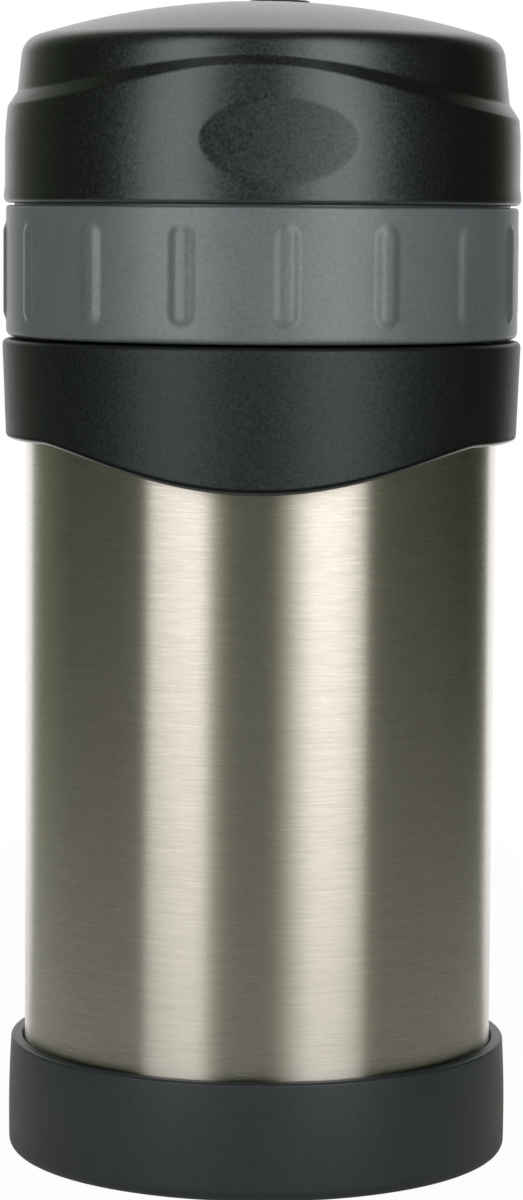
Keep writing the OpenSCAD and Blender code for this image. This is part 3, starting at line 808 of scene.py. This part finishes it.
# ---------------------------------------------------------------- vent button
def button():
    """Button with a soft edge and a faint dish in its top."""
    flange_z = button_z0 + button_flange_t
    dish_r = button_r - dish_inset
    section = [(0, button_z0), (button_flange_r, button_z0), (button_flange_r, flange_z),
               (button_r, flange_z)]
    section += arc(button_r - button_round, button_z1 - button_round, button_round, 0, 90, 6)
    section += [(r, button_z1 - dish_depth * (1 - (r / dish_r) ** 2))
                for r in np.linspace(dish_r, 0, 8)]
    verts, faces = turned(lambda angle: [(r, z, vent_x) for r, z in section], 96)
    return build("vent_cap", verts, faces, lid_black)


piece(button(), "vent", "black_plastic", "vent_button")


# ---------------------------------------------------------------- world
# The studio's levels round the horizon, each at an angle from the front towards +X: a white sweep
# behind the jar, a tall softbox on either side of the camera, and dark walls between them.
HORIZON = (
    # left half of the sweep, and the left wall
    (-180, 1.0), (-151, 1.0), (-146, 0.40), (-135, 0.24), (-105, 0.07), (-75, 0.055), (-61.2, 0.10),
    # left softbox
    (-57.2, 0.24), (-54, 0.9), (-45, 1.1), (-34, 1.24), (-28, 1.22), (-22, 0.38),
    # gap where the camera stands
    (-16, 0.17), (-10, 0.12), (0, 0.092), (7, 0.15),
    # right softbox
    (13, 0.41), (19, 0.84), (26, 1.36), (34, 1.38), (43, 1.28), (51, 0.85), (54.5, 0.2),
    # right wall, and the right half of the sweep
    (63, 0.10), (77, 0.055), (112, 0.035), (125, 0.05), (138, 0.09), (146, 0.30), (151, 1.0),
    (180, 1.0))
SOFTBOX_GAIN = 2.35
DARK_GAIN = 0.9
REAR_GAIN = 1.35
REAR_FROM = 100
BRIGHT_FROM = 0.15
BRIGHT_SPAN = 0.4
DARK_TINT = (0.93, 1.06, 0.70)
ZENITH = (0.03, 0.03, 0.03)
ZENITH_START = 0.90
ZENITH_END = 1.02
ZENITH_LEAN = 0.35
WHITE = (1, 1, 1)


def math_node(tree, operation, a, b=None):
    """A math node on a socket and a number or a second socket."""
    node = tree.nodes.new("ShaderNodeMath")
    node.operation = operation
    for socket, value in zip(node.inputs, (a, b)):
        if isinstance(value, (int, float)):
            socket.default_value = value
        elif value is not None:
            tree.links.new(value, socket)
    return node.outputs[0]


def horizon_color(degrees, level):
    """Colour of the studio at a stop: a tint in its dark parts, a softbox's gain in its bright ones."""
    bright = min(1.0, max(0.0, (level - BRIGHT_FROM) / BRIGHT_SPAN))
    full = SOFTBOX_GAIN if abs(degrees) < REAR_FROM else REAR_GAIN
    gain = DARK_GAIN + (full - DARK_GAIN) * bright
    return (*(level * gain * (bright + (1 - bright) * tint) for tint in DARK_TINT), 1)


def studio_world():
    """The surroundings that the jar reflects; the camera itself sees plain white."""
    world = bpy.data.worlds.new("studio")
    bpy.context.scene.world = world
    world.use_nodes = True
    tree = world.node_tree
    background = tree.nodes["Background"]
    place = tree.nodes.new("ShaderNodeTexCoord")
    split = tree.nodes.new("ShaderNodeSeparateXYZ")
    tree.links.new(place.outputs["Generated"], split.inputs[0])
    toward = math_node(tree, "MULTIPLY", split.outputs["Y"], -1)
    angle = math_node(tree, "ARCTAN2", split.outputs["X"], toward)
    turn = math_node(tree, "ADD", math_node(tree, "MULTIPLY", angle, 0.5 / math.pi), 0.5)
    ramp = tree.nodes.new("ShaderNodeValToRGB")
    ramp.color_ramp.interpolation = "LINEAR"
    stops = ramp.color_ramp.elements
    stops.remove(stops[1])
    for i, (degrees, level) in enumerate(HORIZON):
        stop = stops[0] if i == 0 else stops.new(0.5 + degrees / 360)
        stop.position = 0.5 + degrees / 360
        stop.color = horizon_color(degrees, level)
    tree.links.new(turn, ramp.inputs["Fac"])
    lean = math_node(tree, "MULTIPLY", split.outputs["Y"], ZENITH_LEAN)
    height = math_node(tree, "SUBTRACT", split.outputs["Z"], lean)
    above = mapped(tree, height, ZENITH_START, ZENITH_END, kind="SMOOTHSTEP")
    room = mixed(tree, above, ramp.outputs["Color"], ZENITH)
    path = tree.nodes.new("ShaderNodeLightPath")
    seen = mixed(tree, path.outputs["Is Camera Ray"], room, WHITE)
    tree.links.new(seen, background.inputs["Color"])


studio_world()


# ---------------------------------------------------------------- lamps
FILL_ANGLES = (-48, 48, -140, 140)
FILL_ELEVATION = 30
FILL_DISTANCE = 1.2
FILL_SIZE = 0.9
FILL_POWER = 3.5


def lamp(name, azimuth, elevation, distance, size, power):
    """A soft square lamp that lights the jar without showing in its gloss."""
    data = bpy.data.lights.new(name, "AREA")
    data.size = size
    data.energy = power
    obj = bpy.data.objects.new(name, data)
    a, e = math.radians(azimuth), math.radians(elevation)
    middle = Matrix.Translation((0, 0, lid_top / 2 * MM))
    back = Matrix.Rotation(a, 4, "Z") @ Matrix.Rotation(math.pi / 2 - e, 4, "X")
    obj.matrix_world = middle @ back @ Matrix.Translation((0, 0, distance))
    obj.visible_glossy = False
    bpy.context.scene.collection.objects.link(obj)


for i, lamp_angle in enumerate(FILL_ANGLES):
    lamp(f"fill_{i}", lamp_angle, FILL_ELEVATION, FILL_DISTANCE, FILL_SIZE, FILL_POWER)


# ---------------------------------------------------------------- floor
FLOOR_R = 0.5
FLOOR_DROP = 0.05
FLOOR_FADE = (0.25, 0.48)
PAPER_LOW, PAPER_HIGH = (0.40, 0.405, 0.35), (0.44, 0.445, 0.385)
# Share of the floor's own white: to the camera and behind the jar, and elsewhere from left to right
FLOOR_WHITE = 0.97
SWEEP_BEHIND = (-0.04, 0.01)
SWEEP_ASIDE = 1.15
DIM_PLACE, DIM_SHARE = (-0.02, 0.08), (0.25, 0.12)


def floor():
    """A pale round floor, nearly white to the camera, that fades out before its edge."""
    bpy.ops.mesh.primitive_circle_add(vertices=96, radius=FLOOR_R, fill_type="NGON",
                                      location=(0, 0, -FLOOR_DROP * MM))
    obj = bpy.context.object
    obj.name = "floor"
    material, tree, shader = new_material("floor_paper")
    nodes, links = tree.nodes, tree.links
    shader.inputs["Roughness"].default_value = 0.9
    shader.inputs["Specular IOR Level"].default_value = 0.1
    paper = noise(tree, 25, 3)
    links.new(two_colors(tree, paper, PAPER_LOW, PAPER_HIGH), shader.inputs["Base Color"])
    glow = nodes.new("ShaderNodeEmission")
    glow.inputs["Strength"].default_value = 1.0
    path = nodes.new("ShaderNodeLightPath")
    place = nodes.new("ShaderNodeTexCoord")
    split = nodes.new("ShaderNodeSeparateXYZ")
    links.new(place.outputs["Object"], split.inputs[0])
    aside = math_node(tree, "ABSOLUTE", split.outputs["X"])
    aside = math_node(tree, "MULTIPLY", aside, SWEEP_ASIDE)
    behind = mapped(tree, math_node(tree, "SUBTRACT", split.outputs["Y"], aside), *SWEEP_BEHIND)
    sweep = math_node(tree, "MULTIPLY", behind, path.outputs["Is Glossy Ray"])
    bright = math_node(tree, "MAXIMUM", path.outputs["Is Camera Ray"], sweep)
    bright = math_node(tree, "MULTIPLY", bright, FLOOR_WHITE)
    dim = mapped(tree, split.outputs["X"], *DIM_PLACE, *DIM_SHARE)
    seen = nodes.new("ShaderNodeMixShader")
    links.new(math_node(tree, "MAXIMUM", bright, dim), seen.inputs[0])
    links.new(shader.outputs[0], seen.inputs[1])
    links.new(glow.outputs[0], seen.inputs[2])
    away = nodes.new("ShaderNodeVectorMath")
    away.operation = "LENGTH"
    links.new(place.outputs["Object"], away.inputs[0])
    clear = nodes.new("ShaderNodeBsdfTransparent")
    last = nodes.new("ShaderNodeMixShader")
    links.new(mapped(tree, away.outputs["Value"], *FLOOR_FADE, kind="SMOOTHSTEP"), last.inputs[0])
    links.new(seen.outputs[0], last.inputs[1])
    links.new(clear.outputs[0], last.inputs[2])
    links.new(last.outputs[0], nodes["Material Output"].inputs["Surface"])
    obj.data.materials.append(material)


floor()


# ---------------------------------------------------------------- camera
CAMERA_X = 0.33
CAMERA_DISTANCE = 736.0
CAMERA_HEIGHT = 176.5
CAMERA_TILT = 5.69
CAMERA_ROLL = 0.4
IMAGE_HEIGHT = 1200
FOCAL_PIXELS = 3962
SENSOR_WIDTH = 36
CLIP_START, CLIP_END = 0.05, 20


def camera():
    """The camera in front of the jar, level with the seam under the lid."""
    data = bpy.data.cameras.new("camera")
    data.sensor_fit = "AUTO"
    data.sensor_width = SENSOR_WIDTH
    data.lens = data.sensor_width * FOCAL_PIXELS / IMAGE_HEIGHT
    data.clip_start = CLIP_START
    data.clip_end = CLIP_END
    obj = bpy.data.objects.new("camera", data)
    bpy.context.scene.collection.objects.link(obj)
    tilt = Matrix.Rotation(math.radians(90 - CAMERA_TILT), 4, "X")
    roll = Matrix.Rotation(math.radians(CAMERA_ROLL), 4, "Z")
    place = (CAMERA_X * MM, -CAMERA_DISTANCE * MM, CAMERA_HEIGHT * MM)
    obj.matrix_world = Matrix.Translation(place) @ (tilt @ roll)
    bpy.context.scene.camera = obj


camera()
bpy.context.scene.view_settings.view_transform = "Standard"
